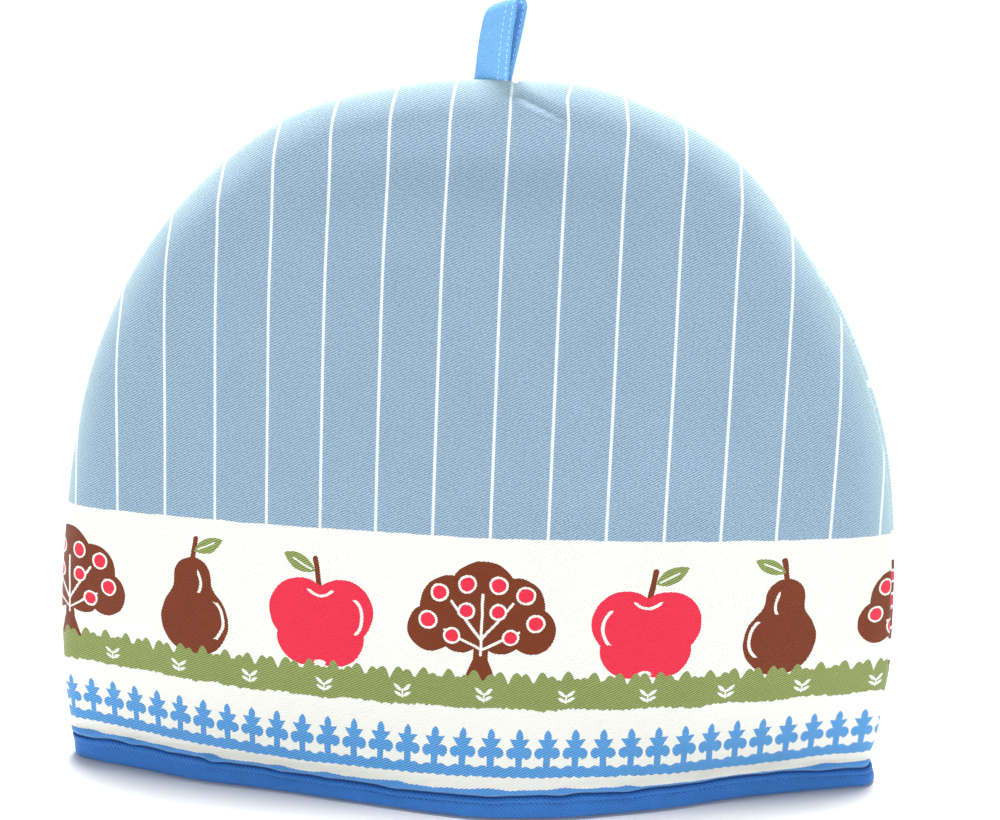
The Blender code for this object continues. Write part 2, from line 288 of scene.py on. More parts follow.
def look_up(value, line):
    line = np.asarray(line)
    return np.interp(value, line[:, 0], line[:, 1])


def seam_x(z, half):
    return np.interp(np.maximum(z, PINCH_FROM), half[:, 1], half[:, 0])


SHOULDER_LEFT, SHOULDER_RIGHT = look_up((-SHOULDER_X, SHOULDER_X), OVER_TOP)


def nearest_on_seam(x, z):
    """For places in the seam's plane: the nearest point of the seam, its distance and its place along it."""
    x, z = np.broadcast_arrays(np.asarray(x, float), np.asarray(z, float))
    places = np.stack((x.ravel(), z.ravel()), 1)
    starts, runs = OUTLINE[:-1], np.diff(OUTLINE, axis=0)
    found = []
    for part in np.array_split(places, max(1, len(places) // 4000)):
        share = ((part[:, None] - starts) * runs).sum(-1) / (runs**2).sum(-1)
        feet = starts + runs * np.clip(share, 0, 1)[..., None]
        distances = np.hypot(*np.moveaxis(part[:, None] - feet, -1, 0))
        best = distances.argmin(1)
        row = np.arange(len(part))
        along = OUTLINE_ALONG[best] + np.hypot(*(feet[row, best] - starts[best]).T)
        found.append(np.column_stack((feet[row, best], distances[row, best], along)))
    found = np.vstack(found).reshape(*x.shape, 4)
    return found[..., :2], found[..., 2], found[..., 3]


def bulge(x, z):
    """How far a panel stands out beyond its rounded edge."""
    across = np.clip(x / np.where(x > 0, seam_x(z, RIGHT_HALF), seam_x(z, LEFT_HALF)), -1, 1)
    pull = look_up(x, HEM_PULL_LINE) * np.maximum(0, 1 - z / HEM_PULL_TO) ** HEM_PULL_POWER
    return look_up(z, BULGE_LINE) * (1 - across**2) ** BULGE_ACROSS + pull


def lumps(x, z, side):
    """Unevenness of the wadding, the other way round on the back panel."""
    total = 0
    for at_x, at_z, wide, tall, out in LUMPS:
        total = total + out * hump(-side * x, at_x, wide) * hump(z, at_z, tall)
    return total


def pucker(x, z, side):
    """Depth of the pucker beside the loop, with the ridge below it, on the front panel only."""
    if side > 0:
        return 0 * x
    start, end = np.array(PUCKER_START), np.array(PUCKER_END)
    run = end - start
    out = np.stack((x - start[0], z - start[1]), -1)
    share = np.clip(out @ run / (run @ run), 0, 1)
    across = (out - run * share[..., None]) @ np.array((run[1], -run[0])) / np.hypot(*run)
    away = np.hypot(*np.moveaxis(out - run * share[..., None], -1, 0))
    trough = PUCKER_DEEP * (1 - PUCKER_FADE * share) * hump(away, 0, PUCKER_HALF_WIDTH)
    beyond = np.maximum(0, away - np.abs(across))
    ridge = hump(across, *RIDGE_BELOW) * hump(beyond, 0, PUCKER_HALF_WIDTH)
    return trough - RIDGE_HIGH * (1 - RIDGE_FADE * share) * ridge


def free_of_binding(z):
    """0 where the binding pinches the cloth, 1 above it."""
    return smooth_step(z, PINCH_FROM, PINCH_TO)


def outer_depth(x, z, side):
    """How far the outer cloth stands from the seam plane, and its share of the rounded edge."""
    z = np.maximum(z, PINCH_FROM)
    _, inside, _ = nearest_on_seam(x, z)
    edge = EDGE_ROUND_AT_HEM + (EDGE_ROUND - EDGE_ROUND_AT_HEM) * smooth_step(z, *EDGE_ROUND_FROM)
    fill = 1 - np.minimum(1, inside / edge)
    share = np.sqrt(1 - fill * fill)
    soft = edge + (SOFT_EDGE - EDGE_ROUND) * smooth_step(z, *SOFT_EDGE_FROM)
    rounded = edge * np.sqrt(1 - (1 - np.minimum(1, inside / soft)) ** 2)
    roll = smooth_step(inside, TOP_ROLL_IN, TOP_ROLL_AT) - smooth_step(inside, TOP_ROLL_AT, TOP_ROLL_TO)
    rounded = rounded + TOP_ROLL * roll * smooth_step(z, *TOP_ROLL_FROM)
    uneven = lumps(x, z, side) * smooth_step(inside, 0, LUMPS_CLEAR)
    uneven = uneven - pucker(x, z, side) * smooth_step(inside, 0, PUCKER_CLEAR)
    pinch = PINCH * (1 - free_of_binding(z)) * np.minimum(1, inside / edge)
    return rounded + bulge(x, z) + uneven - pinch, share


def right_side(x, z):
    """1 along the right seam between the hem and the shoulder, fading out at both."""
    return smooth_step(x, *SWAY_ACROSS) * smooth_step(z, *SWAY_UP) * smooth_step(z, *SWAY_OUT)


def sway_forward(x, z, inside):
    """How far the seam pulls the cloth beside it forward."""
    return -SEAM_SWAY * right_side(x, z) * smooth_step(inside, SWAY_REACH, 0)


def grid_places(columns, row_zs):
    """Places in the seam plane of each row and column of a panel's grid."""
    u, row_z = np.array(columns)[None, :], np.array(row_zs)[:, None]
    rise = np.maximum(0, (row_z - PINCH_TO) / (SHOULDER_LEFT - PINCH_TO))
    right_z = row_z + rise * (SHOULDER_RIGHT - SHOULDER_LEFT)
    mix = (u + 1) / 2
    x = seam_x(row_z, LEFT_HALF) * (1 - mix) + seam_x(right_z, RIGHT_HALF) * mix
    side_z = row_z * (1 - mix) + right_z * mix
    shoulder_z = SHOULDER_LEFT * (1 - mix) + SHOULDER_RIGHT * mix
    return x, side_z + rise**ARCH_POWER * (look_up(SHOULDER_X * u, OVER_TOP) - shoulder_z)


def edge_places():
    """Distances from the seam that are even steps round the edge."""
    turn = np.linspace(0, math.pi / 2, EDGE_COLUMNS)
    return EDGE_ROUND * (1 - np.cos(turn))


def grid_columns(count):
    near = edge_places() / HALF_WIDTH
    inner = 1 - near[-1]
    middle = np.linspace(-inner, inner, count - 2 * len(near) + 2)[1:-1]
    return np.concatenate((near - 1, middle, (1 - near)[::-1]))


def grid_rows(count):
    """Rows from the foot to the shoulder, close together at the hem and at the top seam."""
    near_top = (SHOULDER_LEFT - TOP_ROW_STEP * edge_places())[::-1]
    foot = CHANNEL_FLOOR + PIECE_GAP
    hem = np.linspace(foot, HEM_ROWS_TO, HEM_ROWS)[:-1]
    middle = np.linspace(HEM_ROWS_TO, near_top[0], count - len(near_top) - len(hem) + 1)[:-1]
    return np.concatenate((hem, middle, near_top))


def gentle(x, z, long, seed):
    """Smooth noise from -1 to 1 whose waves are about that long."""
    flat = np.column_stack((np.ravel(x), np.ravel(z))) / long
    made = [noise.noise(Vector((a, b, seed))) for a, b in flat]
    return np.array(made).reshape(np.shape(x))


def gathers(x, side):
    """Height of the gathers along the hem, the other way round on the back."""
    total = 0 * x
    for at, half_width, high in HEM_GATHERS:
        total = total + high * hump(x, at * -side, half_width)
    return total


def binding_top(x, side):
    """Height of the binding's top edge."""
    if side < 0:
        waver = SEAM_WAVER * gentle(x, 0 * x, SEAM_WAVER_LONG, seed=2.5)
        return look_up(x, BINDING_TOP_FRONT) + waver - SEAM_UNDER_GATHER * gathers(x, side)
    wave = gentle(x, 0 * x, BINDING_TOP_WAVE_LONG, seed=5.5)
    return BINDING_TOP_BACK + BINDING_TOP_WAVE * wave


def hem_roll(x, z, side):
    """How far the cloth stands out above the binding: a soft roll with gathers, and a dip at the seam."""
    above = z - binding_top(x, side)
    roll = ROLL_HIGH * hump(above, *ROLL_ABOVE) - SEAM_DIP * hump(above, *SEAM_DIP_AT)
    return roll + gathers(x, side) * hump(above, *GATHER_ABOVE)


def left_end(x):
    """1 at the left end of the hem, fading out beside it."""
    return smooth_step(-x, *LEFT_END_X)


def outer_skin(columns, rows, side):
    """Points of the printed cloth, and the place in the seam plane of each."""
    x, z = grid_places(columns, rows)
    depth, share = outer_depth(x, z, side)
    foot, inside, along = nearest_on_seam(x, z)
    from_seam = np.stack((foot[..., 0] - x, foot[..., 1] - z), -1) / np.maximum(inside, 1e-6)[..., None]
    free = free_of_binding(z)
    swell = SEAM_SWELL + (BACK_SWELL - SEAM_SWELL) * right_side(x, z) * (side > 0)
    swell = swell * free * SWELL_PEAK * share * (1 - share) ** 2
    sway = sway_forward(x, z, inside) * (1 - share)

    clear = smooth_step(inside, 0, TUCKS_CLEAR)
    tucks = gentle(along, 0 * along, SEAM_TUCK_LONG, seed=3.3 + side) * SEAM_TUCKS_HIGH * free
    tucks = tucks * hump(inside, 0, SEAM_TUCKS_REACH) * clear
    dimples = gentle(x, z, DIMPLES_LONG, seed=7.7 + side) * DIMPLES_HIGH * free
    raised = tucks + hem_roll(x, z, side)
    depth = depth + dimples * smooth_step(inside, 0, LUMPS_CLEAR) + raised * share
    out = swell + raised * (1 - share) * clear

    flare = LEFT_FLARE * left_end(x) * hump(z, *LEFT_FLARE_AT)
    notch = NOTCH_DEEP * hump(x, *NOTCH_AT)
    notch = notch * smooth_step(inside, NOTCH_REACH, 0) * (z > HEIGHT / 2)
    y = side * np.maximum(depth * (share > 0), PIECE_GAP / 4) + sway
    points = np.stack((x + from_seam[..., 0] * out - flare, y, z + from_seam[..., 1] * out - notch), -1)
    return points, x, z, inside


def inner_skin(columns, rows, side):
    """Points of the lining."""
    x, z = grid_places(columns, rows)
    x = x * (1 - SEAM_DEPTH / HALF_WIDTH)
    z = z - SEAM_DEPTH * (z / HEIGHT) ** 2
    wall = WALL_IN_BINDING + (WALL - WALL_IN_BINDING) * free_of_binding(z)
    depth = np.maximum(outer_depth(x, z, side)[0] - wall, PIECE_GAP)
    on_seam = np.zeros(x.shape, bool)
    on_seam[-1] = on_seam[:, 0] = on_seam[:, -1] = True
    depth = np.where(on_seam, PIECE_GAP / 2, depth)
    _, inside, _ = nearest_on_seam(x, z)
    return np.stack((x, side * depth + sway_forward(x, z, inside), z), -1)


# ---- the flat cloth
ARC_STEP_X = 0.0006
ARC_STEP_Z = 0.0022
HEM_TAKEN_IN = 1

# How the stripes lean, fan out and are pulled aside on the front, in millimetres on the cloth
STRIPE_SHIFT = 8.0
STRIPE_LEAN = 0.019
STRIPE_FAN = -0.11
STRIPE_LEAN_FROM = 130
LEFT_PULL = 5.0
LEFT_PULL_FROM = -30
LEFT_PULL_AT = 147
RIGHT_PULL = 0.55
RIGHT_PULL_FROM = (40, 90)
TOP_PULL = 1.2
TOP_PULL_FROM = 0.20
TOP_PULL_AT = 0.285
TOP_PULL_ACROSS = (-60, 0)

# Left of the loop the stripes also turn right where they go over the seam: by how much, and between which x
ROLL_PULL = 2.2
ROLL_PULL_REACH = 0.005
ROLL_PULL_IN = (-0.110, -0.045)
ROLL_PULL_OUT = (0.006, -0.016)

# A gather bunches up this many millimetres of cloth for each metre that it stands out, and up to this height
GATHER_TAKES_UP = 800
GATHER_TAKES_REACH = 4

BAND_TOP = 105.0
RAIL_FOOT = 5.5
BORDER_LEVELS = (1.0, RAIL_FOOT, 25.0, BAND_TOP)

# How far the borders drift off level on the front: x in metres, then millimetres at each border level
BORDER_DRIFT = (
    (-0.180, 2.4, 3.6, 4.5, 2.3), (-0.150, 2.5, 2.4, 4.1, 1.8),
    (-0.125, 2.1, 1.2, 2.4, 1.7), (-0.113, 1.8, 0.6, 1.6, 1.5),
    (-0.105, 0.4, 0.2, 1.0, 1.4), (-0.088, 0.2, -0.6, 0.5, 1.1),
    (-0.070, -0.7, -1.4, 0.1, 0.9), (-0.024, -0.1, 0.3, 0.8, 1.0),
    (0.004, 0.7, 1.4, 1.8, 0.5), (0.044, 1.1, 1.1, 1.3, 0.0),
    (0.084, -0.6, -1.0, -0.2, -1.2), (0.122, -0.7, -1.6, -0.2, -1.3),
    (0.150, 0.1, -0.2, 0.8, -1.3), (0.180, 0.1, -0.2, 1.0, -1.0),
)


def arc_tables(side):
    """Length of cloth from the middle line and from the hem to each place of the panel, in millimetres."""
    xs = np.arange(-HALF_WIDTH, HALF_WIDTH + ARC_STEP_X, ARC_STEP_X)
    zs = np.arange(PINCH_FROM, HEIGHT + ARC_STEP_Z, ARC_STEP_Z)
    grid_x, grid_z = np.meshgrid(xs, zs)
    depth = outer_depth(grid_x, grid_z, side)[0]
    across = np.hypot(np.diff(xs)[None, :], np.diff(depth, axis=1))
    across = np.insert(across.cumsum(1), 0, 0, axis=1)
    across -= across[:, [int(np.abs(xs).argmin())]]
    upwards = np.hypot(np.diff(zs)[:, None], np.diff(depth, axis=0))
    upwards = np.insert(upwards.cumsum(0), 0, 0, axis=0)
    return xs, zs, 1000 * across, 1000 * upwards


def read_table(x, z, xs, zs, table):
    """Value of a table between its places."""
    column = np.clip((x - xs[0]) / ARC_STEP_X, 0, len(xs) - 1.001)
    row = np.clip((z - zs[0]) / ARC_STEP_Z, 0, len(zs) - 1.001)
    c, r = column.astype(int), row.astype(int)
    mix_c, mix_r = column - c, row - r
    low = table[r, c] * (1 - mix_c) + table[r, c + 1] * mix_c
    high = table[r + 1, c] * (1 - mix_c) + table[r + 1, c + 1] * mix_c
    return low * (1 - mix_r) + high * mix_r


def cloth_places(x, z, side):
    """Where points lie on the flat printed cloth, in millimetres: across from a stripe, up from the hem."""
    xs, zs, across, upwards = arc_tables(side)
    u = read_table(x, z, xs, zs, across)
    v = read_table(x, z, xs, zs, upwards) + HEM_TAKEN_IN + 1000 * np.minimum(0, z - PINCH_FROM)
    if side > 0:
        return -u, v
    left = np.maximum(0, LEFT_PULL_FROM - u) / (LEFT_PULL_AT + LEFT_PULL_FROM)
    lean = (STRIPE_LEAN + STRIPE_FAN * x) * (1000 * z - STRIPE_LEAN_FROM)
    top = np.maximum(0, z - TOP_PULL_FROM) / (TOP_PULL_AT - TOP_PULL_FROM)
    pull = LEFT_PULL * left**2 + RIGHT_PULL * smooth_step(u, *RIGHT_PULL_FROM)
    pull = pull + TOP_PULL * top**2 * smooth_step(u, *TOP_PULL_ACROSS)
    _, inside, _ = nearest_on_seam(x, z)
    here = smooth_step(x, *ROLL_PULL_IN) * smooth_step(x, *ROLL_PULL_OUT) * (z > HEIGHT / 2)
    pull = pull + ROLL_PULL * np.exp(-inside / ROLL_PULL_REACH) * here
    u = u - STRIPE_SHIFT - lean - pull
    drift = np.array(BORDER_DRIFT)
    total = 0
    for k in range(len(BORDER_LEVELS)):
        share = np.interp(v, BORDER_LEVELS, np.eye(len(BORDER_LEVELS))[k])
        total = total + share * np.interp(x, drift[:, 0], drift[:, k + 1])
    bunched = GATHER_TAKES_UP * gathers(x, side) * hump(v, 0, GATHER_TAKES_REACH)
    return u, v - total - bunched


# ---- meshes
def add_object(name, data):
    made = bpy.data.objects.new(name, data)
    bpy.context.scene.collection.objects.link(made)
    return made


def new_piece(name, points, faces, materials, face_material=None):
    data = bpy.data.meshes.new(name)
    data.from_pydata([tuple(p) for p in points], [], faces)
    for material in materials:
        data.materials.append(material)
    if face_material is not None:
        data.polygons.foreach_set("material_index", np.array(face_material, np.int32))
    data.validate()
    data.shade_smooth()
    return add_object(name, data)


def add_chart(piece, places):
    """Stores where each point lies on the flat cloth, for the material to read."""
    made = piece.data.attributes.new("cloth", "FLOAT_VECTOR", "POINT")
    made.data.foreach_set("vector", np.asarray(places, np.float32).ravel())


def grid_faces(index, flip):
    a, b = index[:-1, :-1].ravel(), index[:-1, 1:].ravel()
    c, d = index[1:, 1:].ravel(), index[1:, :-1].ravel()
    faces = np.stack((a, d, c, b) if flip else (a, b, c, d), 1)
    return faces.tolist()


def ring_faces(rings, around, closed=False):
    """Faces between neighbouring rings of points, and between the last and the first where closed."""
    faces = []
    for a in range(rings - (not closed)):
        b = (a + 1) % rings
        for k in range(around):
            n = (k + 1) % around
            faces.append((a * around + k, b * around + k, b * around + n, a * around + n))
    return faces


def rim_loop(index):
    """Indices round a grid: along the foot, up the right, back along the top, down the left."""
    return np.concatenate((index[0, :-1], index[:-1, -1], index[-1, :0:-1], index[:0:-1, 0]))


def padded_panel(name, side, print_material, lining_material):
    """One dome panel: fine printed cloth outside, and plain lining of half the steps inside."""
    count_u, count_v = FRONT_GRID if side < 0 else BACK_GRID
    columns, rows = grid_columns(count_u), grid_rows(count_v)
    outer, x, z, inside = outer_skin(columns, rows, side)
    inner = inner_skin(columns[::2], rows[::2], side)
    outer_index = np.arange(outer.shape[0] * outer.shape[1]).reshape(outer.shape[:2])
    inner_index = outer_index.size + np.arange(inner.shape[0] * inner.shape[1]).reshape(inner.shape[:2])
    printed = grid_faces(outer_index, flip=side > 0)
    lined = grid_faces(inner_index, flip=side < 0)
    rim, inner_rim = rim_loop(outer_index), rim_loop(inner_index)
    edge = []
    for k, low in enumerate(inner_rim):
        after = inner_rim[(k + 1) % len(inner_rim)]
        face = [rim[2 * k], low, after, rim[(2 * k + 2) % len(rim)], rim[2 * k + 1]]
        edge.append([int(i) for i in (face[::-1] if side > 0 else face)])
    points = np.vstack((outer.reshape(-1, 3), inner.reshape(-1, 3)))
    which = [0] * len(printed) + [1] * (len(lined) + len(edge))
    piece = new_piece(name, points, printed + lined + edge, (print_material, lining_material), which)
    u, v = cloth_places(x, z, side)
    chart = np.zeros((len(points), 3))
    chart[: outer_index.size] = np.stack((u.ravel(), v.ravel(), 1000 * inside.ravel()), 1)
    add_chart(piece, chart)
    return piece


def hem_stations():
    """Points round the hem on the outer cloth, their outward directions, and the lining's points by them."""
    count = 2 * int(HALF_WIDTH / HEM_STATION)
    columns = grid_columns(count)
    x, z = grid_places(columns, [PINCH_FROM])
    x, z = x[0], z[0]
    lines = []
    for side, order in ((-1, 1), (1, -1)):
        outer = side * outer_depth(x, z, side)[0]
        outer[[0, -1]] = 0
        inner_x = x * (1 - SEAM_DEPTH / HALF_WIDTH)
        inner = side * np.maximum(outer_depth(inner_x, z, side)[0] - WALL_IN_BINDING, PIECE_GAP)
        inner[[0, -1]] = 0
        lines.append(np.stack((x, outer, inner_x, inner), 1)[::order][:-1])
    ring = np.vstack(lines)
    outer, inner = ring[:, :2], ring[:, 2:]
    along = np.roll(outer, -1, 0) - np.roll(outer, 1, 0)
    along /= np.linalg.norm(along, axis=1)[:, None]
    return outer, np.stack((along[:, 1], -along[:, 0]), 1), inner


def ring_top(places):
    """Height of the binding's top edge at each station round the hem."""
    share = smooth_step(places[:, 1], -BINDING_TOP_BLEND, BINDING_TOP_BLEND)
    return binding_top(places[:, 0], -1) * (1 - share) + binding_top(places[:, 0], 1) * share


# Section of the binding from its top edge down the outer face: offset from the cloth, share of the height
OUTER_SECTION = (
    (0.0001, 1.00), (0.0007, 0.985), (0.0013, 0.94), (0.0016, 0.88),
    (0.0016, 0.82), (0.0011, 0.75), (0.0018, 0.66), (0.0023, 0.54),
    (0.0027, 0.40), (0.0028, 0.27), (0.0025, 0.15), (0.0017, 0.06),
    (0.0008, 0.015), (0.0001, 0.00),
)
# and from the foot up the inner face: offset from the lining, height
INNER_SECTION = (
    (0.0002, 0.0000), (0.0010, 0.0006), (0.0015, 0.0025), (0.0014, 0.0060),
    (0.0011, 0.0085), (0.0003, 0.0092),
)
LIP = 0.0004


def hem_binding(material):
    """Strip of plain cotton folded round both raw edges, puffed a little by its fold, and its flat size."""
    outer, out, inner = hem_stations()
    count = len(outer)
    top = ring_top(outer)
    level = np.ones(count)
    at_left = left_end(outer[:, 0])
    puff = 1 + BINDING_PUFF * gentle(outer[:, 0], outer[:, 1], BINDING_PUFF_LONG, seed=1.5)
    puff *= 1 - LEFT_END_FLAT * at_left
    rings = []
    for offset, share in OUTER_SECTION:
        away = offset * puff + LEFT_FLARE * at_left * share**2
        rings.append(np.column_stack((outer + out * away[:, None], top * share)))
    for offset, height in INNER_SECTION:
        rings.append(np.column_stack((inner - out * offset, level * height)))
    near_lining, near_cloth = inner - out * PIECE_GAP / 2, outer + out * PIECE_GAP / 2
    inner_top = INNER_SECTION[-1][1]
    channel = ((near_lining, inner_top - LIP), (near_lining, CHANNEL_FLOOR))
    channel += ((near_cloth, CHANNEL_FLOOR), (near_cloth, top - LIP))
    rings += [np.column_stack((place, level * height)) for place, height in channel]
    piece = new_piece("bound_hem", np.vstack(rings), ring_faces(len(rings), count, closed=True), (material,))
    along = lengths_along(outer)
    down = lengths_along([ring[0] for ring in rings])
    chart = [np.column_stack((1000 * along, 1000 * d * level, 0 * along)) for d in down]
    add_chart(piece, np.vstack(chart))
    return piece, (float(down[-1]) / 2, float(lengths_along(np.vstack((outer, outer[:1])))[-1]))


def between(line, along, place):
    """Point of a line at that length along it."""
    return np.array([np.interp(place, along, line[:, k]) for k in range(3)])


def stitch_rows(name, lines, pitch, length, material):
    """Short raised threads laid along lines, each line given as points with their outward directions."""
    mesh = bmesh.new()
    bmesh.ops.create_uvsphere(mesh, u_segments=8, v_segments=5, radius=0.5)
    unit = np.array([v.co for v in mesh.verts])
    shape = [[v.index for v in f.verts] for f in mesh.faces]
    mesh.free()
    size = np.array((STITCH_THICK, STITCH_THICK, length))
    points, faces = [], []
    for line, out in lines:
        along = lengths_along(line)
        for middle in np.arange(pitch / 2, along[-1], pitch):
            up = between(line, along, middle + length / 2) - between(line, along, middle - length / 2)
            up /= np.linalg.norm(up)
            normal = between(out, along, middle)
            normal -= up * (normal @ up)
            normal /= np.linalg.norm(normal)
            axes = np.stack((np.cross(up, normal), normal, up))
            first = len(points) * len(unit)
            points.append(unit * size @ axes + between(line, along, middle))
            faces += [[first + i for i in face] for face in shape]
    return new_piece(name, np.vstack(points), faces, (material,))


def hem_stitches(material):
    """Row of stitches that holds the binding, just under its top edge, all the way round."""
    outer, out, _ = hem_stations()
    top = ring_top(outer)
    share = np.array(OUTER_SECTION)
    offset = np.interp(1 - STITCH_BELOW_EDGE / top, share[::-1, 1], share[::-1, 0])
    line = np.column_stack((outer + out * offset[:, None], top - STITCH_BELOW_EDGE))
    closed = np.vstack((line, line[:1]))
    outwards = np.column_stack((out, 0 * top))
    outwards = np.vstack((outwards, outwards[:1]))
    return stitch_rows("hem_stitches", [(closed, outwards)], STITCH_PITCH, STITCH_LONG, material)


def loop_line(wide, height):
    """Line of the tape seen from the side: up the front leg, over the top, down the back."""
    foot = TAPE_THICK * LOOP_FOOT
    arch_z = height - TAPE_THICK / 2 - wide
    rise = np.linspace(0.02, 1, LOOP_LEG_STEPS)
    leg = foot + (wide - foot) * np.sin(math.pi / 2 * np.minimum(1, rise / LOOP_OPEN_BY))
    turn = np.linspace(0, math.pi, LOOP_ARCH_STEPS)[1:-1]
    front_y = np.concatenate(([foot, foot], leg))
    front_z = np.concatenate(([-LOOP_TAIL, -0.002], rise * arch_z))
    y = np.concatenate((-front_y, -wide * np.cos(turn), front_y[::-1]))
    z = np.concatenate((front_z, arch_z + wide * np.sin(turn), front_z[::-1]))
    return np.stack((y, z), 1)


def tape_line(across, thick):
    """The loop's points at one place of the tape's section, with the tape's twist."""
    share = np.clip(across / TAPE_WIDTH + 0.5, 0, 1) ** 0.5
    line = loop_line(np.interp(share, (0, 1), LOOP_HALF_OPEN), np.interp(share, (0, 1), LOOP_RISE))
    along = np.gradient(line, axis=0)
    along /= np.linalg.norm(along, axis=1)[:, None]
    y = line[:, 0] - along[:, 1] * thick
    z = line[:, 1] + along[:, 0] * thick
    turn = LOOP_TURN + LOOP_TWIST * np.clip(z / LOOP_RISE[1], 0, 1) ** LOOP_TWIST_EARLY
    x = across * np.cos(turn) - y * np.sin(turn)
    return np.stack((x, across * np.sin(turn) + y * np.cos(turn), z), 1)


def loop_matrix():
    """Where the loop stands on the seam, leaning over."""
    at = Matrix.Translation((LOOP_AT_X, LOOP_AT_Y, float(look_up(LOOP_AT_X, OVER_TOP))))
    return at @ Matrix.Rotation(LOOP_LEAN, 4, "Y")


# Half of the tape's section, from its folded left edge to its stitched right one, where two layers meet:
# share of the half width, share of the half thickness
TAPE_SECTION = (
    (-1.00, 0.00), (-0.98, 0.55), (-0.92, 0.90), (-0.80, 1.00),
    (0.30, 1.00), (0.40, 0.86), (0.50, 1.00), (0.76, 1.00),
    (0.86, 0.84), (0.95, 0.92), (1.00, 0.60), (0.97, 0.25),
    (0.86, 0.06),
)


def hang_loop(material, thread):
    """Tape folded lengthwise, stitched, and bent into a loop."""
    half = np.array(TAPE_SECTION)
    section = np.vstack((half, (half * (1, -1))[-2:0:-1]))
    lines = [tape_line(x * TAPE_WIDTH / 2, y * TAPE_THICK / 2) for x, y in section]
    rings, wide = np.stack(lines, 1), len(section)
    faces = ring_faces(len(rings), wide)
    faces.append(tuple(range(wide))[::-1])
    faces.append(tuple((len(rings) - 1) * wide + k for k in range(wide)))
    piece = new_piece("tape_loop", rings.reshape(-1, 3), faces, (material,))
    length = lengths_along(tape_line(0, 0))
    across = section[:, 0] * 1000 * TAPE_WIDTH / 2
    chart = [np.column_stack((across, np.full(wide, 1000 * s), section[:, 1])) for s in length]
    add_chart(piece, np.vstack(chart))
    piece.data.transform(loop_matrix())
    turn_faces_out(piece)
    stitched = []
    for row in LOOP_STITCH_ROWS:
        for side in (1, -1):
            inner, outer = tape_line(row, 0), tape_line(row, side * TAPE_THICK / 2 * LOOP_STITCH_SUNK)
            stitched.append((outer[2:-2], (outer - inner)[2:-2]))
    stitches = stitch_rows("loop_stitches", stitched, LOOP_STITCH_PITCH, LOOP_STITCH_LONG, thread)
    stitches.data.transform(loop_matrix())
    return piece, stitches, float(length[-1])


def turn_faces_out(piece):
    mesh = bmesh.new()
    mesh.from_mesh(piece.data)
    bmesh.ops.recalc_face_normals(mesh, faces=mesh.faces)
    mesh.to_mesh(piece.data)
    mesh.free()


# ---- shader arithmetic
class Field:
    """A number that shader nodes work out at each point of a surface, with Python's operators."""

    def __init__(self, tree, socket):
        self.tree, self.socket = tree, socket

    def math(self, operation, *others):
        node = self.tree.nodes.new("ShaderNodeMath")
        node.operation = operation
        for plug, value in zip(node.inputs, (self, *others)):
            plug_in(self.tree, plug, value)
        return Field(self.tree, node.outputs[0])

    __add__ = __radd__ = partialmethod(math, "ADD")
    __sub__ = partialmethod(math, "SUBTRACT")
    __rsub__ = partialmethod(math, "MULTIPLY_ADD", -1)
    __mul__ = __rmul__ = partialmethod(math, "MULTIPLY")
    __truediv__ = partialmethod(math, "DIVIDE")
    __neg__ = partialmethod(math, "MULTIPLY", -1)
    __abs__ = partialmethod(math, "ABSOLUTE")
    sine = partialmethod(math, "SINE")
    root = partialmethod(math, "SQRT")

    def folded(self, pitch):
        """Distance to the nearest multiple of pitch."""
        return self.math("PINGPONG", pitch / 2)

    def within(self):
        """The number kept from 0 to 1."""
        made = self * 1
        made.socket.node.use_clamp = True
        return made

    def ink(self, soft=0.16):
        """1 where a distance to an edge is negative, with a soft edge that is this wide."""
        made = self.math("MULTIPLY_ADD", -1 / soft, 0.5)
        made.socket.node.use_clamp = True
        return made


def plug_in(tree, plug, value):
    if isinstance(value, Field):
        tree.links.new(value.socket, plug)
    else:
        plug.default_value = value


def least(*fields):
    return reduce(lambda a, b: a.math("MINIMUM", b), fields)


def most(*fields):
    return reduce(lambda a, b: a.math("MAXIMUM", b), fields)


class Spot:
    """Where a point of the flat cloth lies, in millimetres, seen from a motif's own origin.

    Its shapes give the distance to their edge, negative inside.
    """

    def __init__(self, x, y):
        self.x, self.y = x, y

    def at(self, x, y):
        """The same point, seen from a motif whose origin is there."""
        return Spot(self.x - x, self.y - y)

    def turned(self, degrees):
        c, s = math.cos(math.radians(degrees)), math.sin(math.radians(degrees))
        return Spot(self.x * c + self.y * s, self.y * c - self.x * s)

    def mirrored(self):
        return Spot(abs(self.x), self.y)

    def disc(self, radius):
        return (self.x * self.x + self.y * self.y).root() - radius

    def discs(self, *circles):
        """Several discs as one shape: x, y, radius of each."""
        return least(*(self.at(x, y).disc(radius) for x, y, radius in circles))

    def oval(self, half_wide, half_tall):
        x, y = self.x / half_wide, self.y / half_tall
        return ((x * x + y * y).root() - 1) * min(half_wide, half_tall)

    def ring(self, radius, half_thick):
        return abs(self.disc(radius)) - half_thick

    def leaf(self, half_long, half_wide):
        """Pointed at both ends, lying along y."""
        radius = (half_long**2 + half_wide**2) / (2 * half_wide)
        return Spot(abs(self.x) + (radius - half_wide), self.y).disc(radius)

    def bar(self, length, half_wide):
        """Round-ended bar that rises from the origin."""
        above = self.y - length / 2
        beyond = most(abs(above) - length / 2, 0 * above)
        return Spot(self.x, beyond).disc(half_wide)


